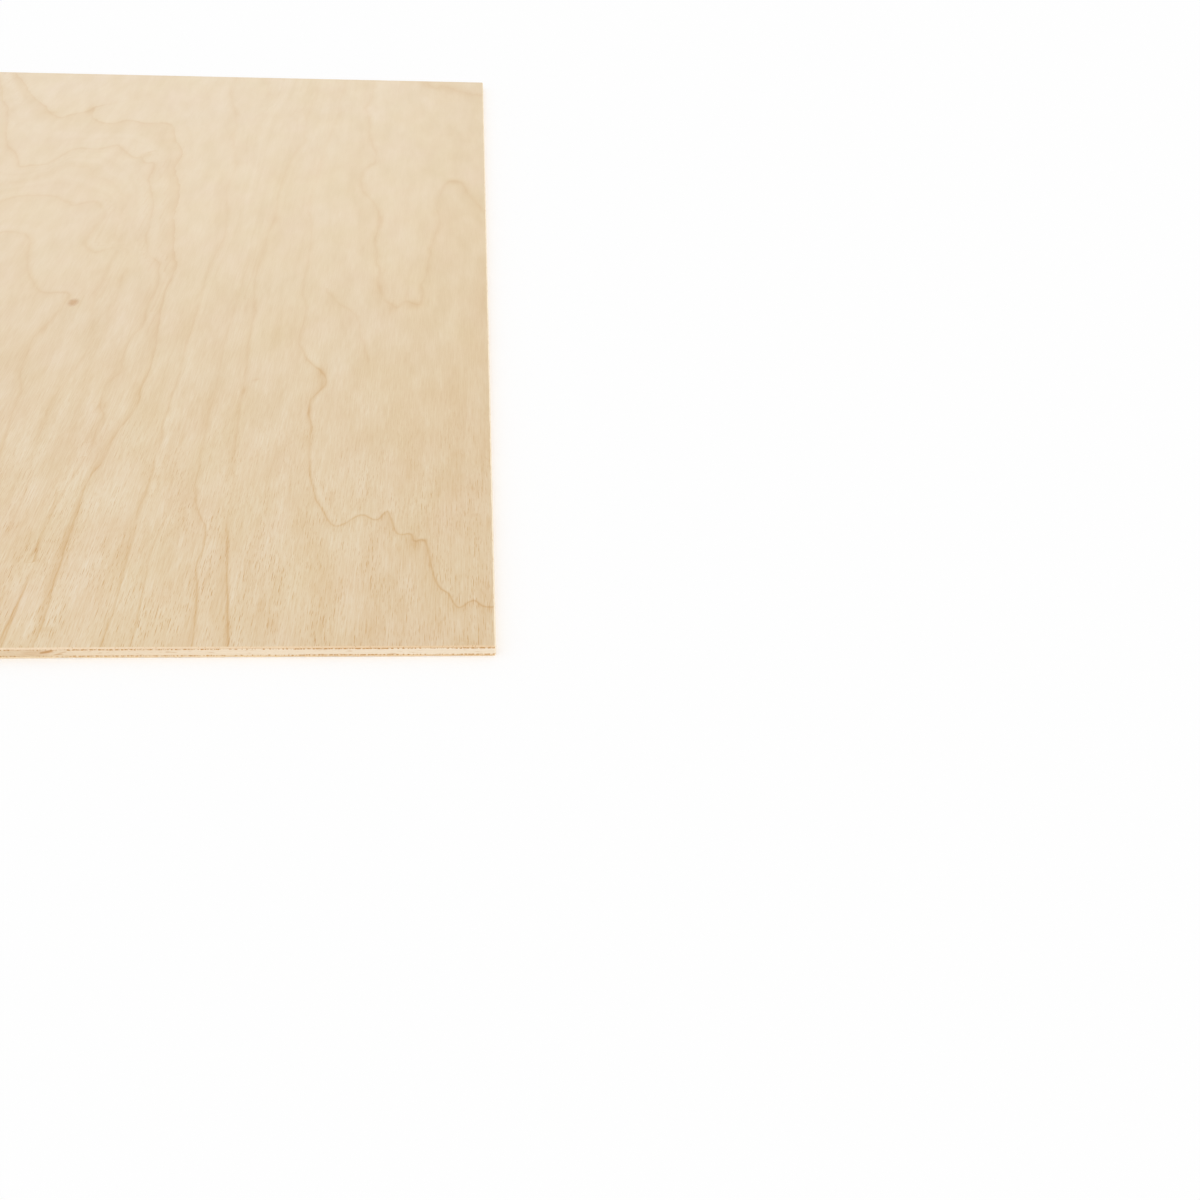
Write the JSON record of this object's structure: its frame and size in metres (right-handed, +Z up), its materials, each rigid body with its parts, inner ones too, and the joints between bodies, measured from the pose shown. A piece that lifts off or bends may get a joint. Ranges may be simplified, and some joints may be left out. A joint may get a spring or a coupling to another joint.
{
  "type": "plywood sheet",
  "caption": "Flat rectangular sheet of thin maple plywood, with a face, a crossed core and a back veneer glued together.",
  "frame": {"origin": "centre of the sheet's underside, on the surface it lies on", "axes": "+X across the sheet, +Y along the sheet and the face grain, +Z up out of the face"},
  "size_m": [0.3048, 0.508, 0.003],
  "materials": {
    "maple_face": "sanded, unfinished maple veneer with its grain along the sheet",
    "core_wood": "sawn pale core veneer with its grain across the sheet",
    "maple_back": "sanded, unfinished maple veneer with its grain along the sheet"
  },
  "bodies": {
    "root": {"face_veneer": "maple_face", "core_veneer": "core_wood", "back_veneer": "maple_back"}
  },
  "joints": []
}
